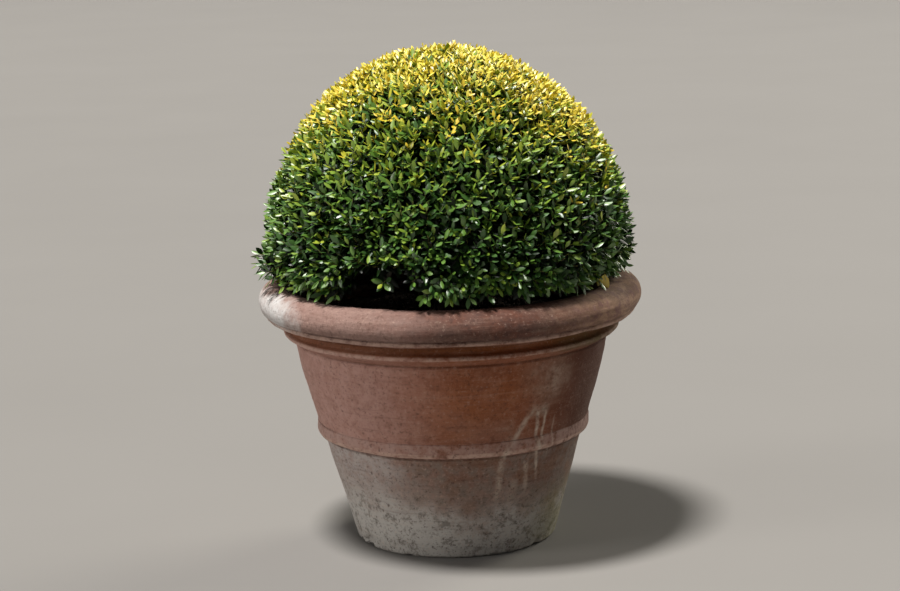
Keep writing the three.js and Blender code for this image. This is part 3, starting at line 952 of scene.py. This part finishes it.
# Loose sprigs at the skirt, each an azimuth in degrees, a height, how far past the outline
# its tip reaches and which way it rises
SPRIGS = [
    (-176, 0.384, 0.010, 0.20),
    (-171, 0.376, 0.014, 0.05),
    (-169, 0.367, 0.015, -0.10),
    (-173, 0.360, 0.012, -0.30),
    (-164, 0.381, 0.012, 0.10),
    (-160, 0.372, 0.016, -0.05),
    (-166, 0.358, 0.011, -0.30),
    (-155, 0.358, 0.006, -0.30),
    (-149, 0.355, 0.003, -0.40),
    (-143, 0.357, 0.001, -0.45),
    (-137, 0.352, 0.000, -0.50),
    (-131, 0.353, -0.001, -0.50),
    (-111, 0.378, -0.006, 0.10),
    (-101, 0.382, 0.001, -0.10),
    (-98, 0.360, 0.001, -0.50),
    (-95, 0.366, 0.003, -0.30),
    (-90, 0.358, 0.000, -0.55),
    (-84, 0.358, 0.001, -0.50),
    (-78, 0.358, 0.000, -0.45),
    (-66, 0.359, 0.001, -0.30),
    (-52, 0.357, 0.003, -0.40),
    (-41, 0.356, 0.002, -0.30),
    (-31, 0.353, 0.001, -0.35),
    (-12, 0.362, 0.004, -0.10),
    (20, 0.358, 0.004, -0.30),
    (58, 0.360, 0.006, -0.20),
    (95, 0.357, 0.003, -0.40),
    (133, 0.361, 0.006, -0.10),
    (171, 0.366, 0.005, -0.20),
]


def sprig_places():
    azimuth, z, past, rise = np.array(SPRIGS).T
    out = level(np.radians(azimuth))
    index = np.arange(len(SPRIGS)) + SPRIG_SEED
    return index, on_outline(z, out, past - 0.006), unit(out + UP * rise[:, None])


def grow_shoots(branches):
    """Every shoot as a curve from a branch to its tip. Returns seeds and control points."""
    groups = [shoot_places(), flush_places(), underside_places(), sprig_places()]
    index, tip, direction = (np.concatenate(parts) for parts in zip(*groups))
    foot = tip - direction * 0.03
    nearest = np.argmin(np.linalg.norm(foot[:, None] - branches[3][None], axis=-1), axis=1)
    share = 0.7 + 0.3 * chance(index, 8)
    start, way = bezier(*(control[nearest] for control in branches), share)
    length = np.linalg.norm(tip - start, axis=-1, keepdims=True)
    leave = start + way * length * 0.25
    arrive = tip - direction * length * 0.45
    return index, (start, leave, arrive, tip)


def make_shoots(index, shoots):
    rings, sides = SHOOT_MESH
    radii = np.linspace(0.00105, 0.00045, rings) * (0.85 + 0.3 * chance(index, 9))[:, None]
    mesh = tubes(curves(shoots, rings), radii, sides)
    material = bark_material("shoot_bark", "#4d4a24", "#7a7a3c")
    make_piece("shoots", *mesh, material, "bark", "foliage")


# Leaves

# Pairs down a shoot: how far behind the tip, the leaf's size where the shoot has grown on and
# where it ends as it was clipped, and how far the leaf opens, in degrees
LEAF_PAIRS = [
    (0.0010, 0.55, 0.82, 22),
    (0.0048, 0.78, 0.95, 38),
    (0.0095, 0.94, 1.02, 48),
    (0.0145, 1.02, 1.05, 55),
    (0.0200, 1.05, 1.05, 60),
    (0.0260, 1.00, 1.00, 64),
    (0.0325, 0.95, 0.95, 68),
]

# A leaf's outline: how far along, its half width and how far the margin curls down
LEAF_STATIONS = [(0.20, 0.30, 0.06), (0.50, 0.50, 0.13), (0.80, 0.33, 0.10)]

# From the first flush of spring at the top to the deep green inside and at the foot
# The darkest colours are painted shade deep inside the ball
LEAF_COLOURS = [
    "#f1e25c", "#dec334", "#bebb2f", "#9eae33", "#7b9830",
    "#597f2b", "#3c6224", "#274519", "#172b10", "#0b1608",
]

# From this colour on the leaves are old and dull
FIRST_DULL = 7

# How many colours darker the leaves of each pair are, on a spray that has flushed and on others
# Deeper pairs are older and darker, and darker still as painted shade inside the ball
FLUSHED_DEPTH = [-0.3, 0.3, 3.0, 6.0, 8.0, 9.0, 9.4]
GREEN_DEPTH = [-1.1, -0.1, 1.6, 3.4, 4.6, 5.4, 5.8]


def sun(tip):
    return sunny_height(tip[:, 2], np.arctan2(tip[:, 1], tip[:, 0]))


def has_flushed(index, tip):
    """Which shoots have put on the new season's growth: nearly all at the top, few lower down."""
    return (chance(index, 14) < smooth(sun(tip), 0.48, 0.665)) | (index >= FLUSH_SEED)


def grow_leaves(index, shoots):
    """The root, direction, face, size and pair of every leaf, and its shoot's seed and tip."""
    start, leave, arrive, tip = shoots
    flushed = has_flushed(index, tip)
    length = np.linalg.norm(tip - start, axis=-1)
    roll = chance(index, 10) * math.pi
    kept = []
    for pair, (behind, grown, clipped, opening) in enumerate(LEAF_PAIRS):
        share = 1 - behind / (1.2 * length)
        root, way = bezier(start, leave, arrive, tip, share)
        sideways = unit(np.cross(way, NEARLY_UP))
        upward = np.cross(sideways, way)
        sizes = np.where(flushed, grown * 0.90, clipped)
        for half in (0, 1):
            choice = 20 + pair * 10 + half * 5
            angle = roll + pair * math.pi / 2 + half * math.pi + spread(index, choice, 0.3)
            aside = sideways * np.cos(angle)[:, None] + upward * np.sin(angle)[:, None]
            opened = np.radians(opening + 8 * flushed + spread(index, choice + 1, 14))[:, None]
            along = way * np.cos(opened) + aside * np.sin(opened)
            skyward = way + UP * 0.45
            face = unit(skyward - along * np.sum(skyward * along, axis=-1, keepdims=True))
            face = unit(face + np.cross(along, face) * spread(index, choice + 2, 0.45)[:, None])
            lost = chance(index, choice + 4) < (0.35 if pair == 0 else 0.04)
            lost |= (share < 0.1) | ((index >= FLUSH_SEED) & (pair > 3))
            leaves = dict(root=root + aside * 0.0007, along=along, face=face, index=index, tip=tip,
                          scale=sizes * (0.84 + 0.32 * chance(index, choice + 3)),
                          pair=np.full(len(index), pair))
            kept.append({key: value[~lost] for key, value in leaves.items()})
    return {key: np.concatenate([part[key] for part in kept]) for key in kept[0]}


def inside_outline(leaves):
    """Leaves that the shears left and that stay clear of the pot's rim."""
    end = leaves["root"] + leaves["along"] * (leaves["scale"] * LEAF_LENGTH)[:, None]
    radius = np.hypot(end[:, 0], end[:, 1])
    z = end[:, 2]
    crest = np.clip(1 - ((radius - ROLL[0]) / CLEAR_HALF_WIDTH) ** 2, 0, 1)
    lowest = np.where(radius < MOUTH_RADIUS - 0.002, CLEAR_INSIDE_Z, CLEAR_Z + CLEAR_UP * np.sqrt(crest))
    above = np.clip(z - BALL_WIDEST_Z, 0, None)
    past = np.hypot(radius / BALL_RADIUS, above / BALL_RISE) * BALL_RADIUS - BALL_RADIUS
    sprig = (leaves["index"] >= SPRIG_SEED) & (leaves["index"] < FLUSH_SEED)
    return (z > lowest) & ((past < 0.0040) | sprig) & (radius < RIM_RADIUS + 0.018)


def leaf_class(leaves):
    """Which of the leaf colours each leaf has. A spray that has flushed has yellow leaves at its
    tip, more and more of them towards the top, and every spray is deep green inside, its older
    leaves darker and its deepest ones near black as painted shade."""
    index, pair, tip = leaves["index"], leaves["pair"], leaves["tip"]
    flushed = has_flushed(index, tip)
    young = 1.6 + 2.4 * chance(index, 15) - 2.6 * smooth(sun(tip), 0.52, 0.65)
    fresh = 2.1 * smooth(tip[:, 2], 0.40, 0.58) + 1.2 * (chance(index, 16) > 0.93)
    green = 6.0 - fresh + spread(index, 15, 0.9)
    depth = np.array([GREEN_DEPTH, FLUSHED_DEPTH])[flushed.astype(int), pair]
    number = np.where(flushed, young, green) + depth + spread(index * 7.0 + pair, 17, 0.8)
    return np.clip(np.round(number), 0, len(LEAF_COLOURS) - 1).astype(int)


def leaf_mesh(leaves, chosen):
    """Blades with a crease along the middle, margins curled down and a drooping tip."""
    root, along, face = (leaves[key][chosen] for key in ("root", "along", "face"))
    length = (leaves["scale"][chosen] * LEAF_LENGTH)[:, None]
    index, pair = leaves["index"][chosen], leaves["pair"][chosen]
    broad = 0.85 + 0.3 * chance(index + pair * 31.0, 16)
    width = length * LEAF_WIDTH / LEAF_LENGTH * broad[:, None]
    across = np.cross(along, face)
    droop = length * 0.16 * (0.4 + chance(index * 3.0 + pair, 17))[:, None]
    corners = [root]
    for share, half, curl in LEAF_STATIONS:
        middle = root + along * length * share - face * droop * share ** 2
        for side in (-1, 0, 1):
            corners.append(middle + across * width * half * side - face * width * curl * abs(side))
    corners.append(root + along * length - face * droop)
    points = np.stack(corners, axis=1)
    one = [[0, 2, 1], [0, 3, 2]]
    for a in (1, 2, 4, 5):
        one += [[a, a + 1, a + 4], [a, a + 4, a + 3]]
    one += [[7, 8, 10], [8, 9, 10]]
    faces = np.array(one) + np.arange(len(root))[:, None, None] * points.shape[1]
    return points.reshape(-1, 3), faces.reshape(-1, 3)


def make_leaves(leaves):
    """The leaves, each colour apart, in pieces that stay under the limit of triangles."""
    kind = leaf_class(leaves)
    for number, colour in enumerate(LEAF_COLOURS):
        chosen = np.nonzero(kind == number)[0]
        sheen = 1.0 if number < FIRST_DULL else 0.3
        material = leaf_material(f"leaf_{number + 1}", colour, sheen)
        parts = max(1, math.ceil(len(chosen) * LEAF_TRIANGLES / MOST_TRIANGLES))
        for part in range(parts):
            name = f"leaves_{number + 1}" + (f"_{part + 1}" if parts > 1 else "")
            mesh = leaf_mesh(leaves, chosen[part::parts])
            make_piece(name, *mesh, material, "leaves", "foliage")


def add_stray_leaves(leaves):
    """Adds the two broad young leaves that hang over the rim at the right of the front."""
    root = level(math.radians(-29)) * 0.221 + UP * 0.3645
    stray = dict(
        root=[root, root],
        along=unit(np.array([[0.36, -0.10, -0.93], [-0.30, -0.20, -0.93]])),
        face=unit(np.array([[0.20, -0.95, 0.20], [-0.15, -0.95, 0.25]])),
        scale=[1.55, 1.20],
        pair=[0, 0],
        index=[FLUSH_SEED + 6, FLUSH_SEED + 14],
        tip=[UP * 0.56, UP * 0.56],
    )
    return {key: np.concatenate([leaves[key], stray[key]]) for key in leaves}


def make_foliage(lines):
    branches = grow_branches(lines)
    make_branches(branches)
    index, shoots = grow_shoots(branches)
    make_shoots(index, shoots)
    leaves = grow_leaves(index, shoots)
    kept = inside_outline(leaves)
    leaves = {key: value[kept] for key, value in leaves.items()}
    make_leaves(add_stray_leaves(leaves))


# Floor, lights and camera

def make_stage():
    """A pale floor, far wider than any view of the plant, which sweeps up at its distant edge."""
    sweep = arc(FLOOR_RADIUS, SWEEP_HEIGHT, SWEEP_HEIGHT, SWEEP_HEIGHT, -90, 0, 24)
    under = sweep + [FLOOR_THICK, -FLOOR_THICK]
    profile = np.concatenate([[[0.0, -FLOOR_THICK]], under, sweep[::-1], [[0.0, 0.0]]])
    floor = make_object("floor", *turned(profile, 96, closed=False), floor_material())


def make_light(name, strength, width, direction, colour):
    """Even light from one side, soft because it comes from a wide disc."""
    data = bpy.data.lights.new(name, "SUN")
    data.energy = strength
    data.angle = math.radians(width)
    data.color = colour
    light = put_in_scene(name, data)
    light.location = direction
    light.rotation_mode = "QUATERNION"
    light.rotation_quaternion = (-Vector(direction)).to_track_quat("-Z", "Y")


def make_lights():
    make_light("key", 5.2, 10, (-0.62, -0.42, 2.6), (1.0, 0.98, 0.94))
    make_light("left", 0.8, 20, (-2.6, -0.9, 1.1), (1.0, 0.97, 0.90))
    make_light("back", 1.6, 24, (2.0, 1.9, 1.35), (1.0, 0.96, 0.83))
    world = bpy.data.worlds.new("studio")
    world.use_nodes = True
    sky = world.node_tree.nodes["Background"].inputs
    sky["Color"].default_value = (0.92, 0.96, 1.0, 1)
    sky["Strength"].default_value = 0.09
    bpy.context.scene.world = world


def make_camera():
    data = bpy.data.cameras.new("camera")
    data.lens = CAMERA_LENS
    data.sensor_width = SENSOR_WIDTH
    camera = put_in_scene("camera", data)
    pitched = Matrix.Rotation(math.pi / 2 - CAMERA_PITCH, 4, "X")
    turn = pitched @ Matrix.Rotation(CAMERA_ROLL, 4, "Z")
    camera.matrix_world = Matrix.Translation((0, -CAMERA_DISTANCE, CAMERA_HEIGHT)) @ turn
    bpy.context.scene.camera = camera


make_camera()
make_stage()
make_lights()
bpy.context.scene.view_settings.view_transform = "Standard"
make_pot()
make_compost()
make_foliage(make_limbs())
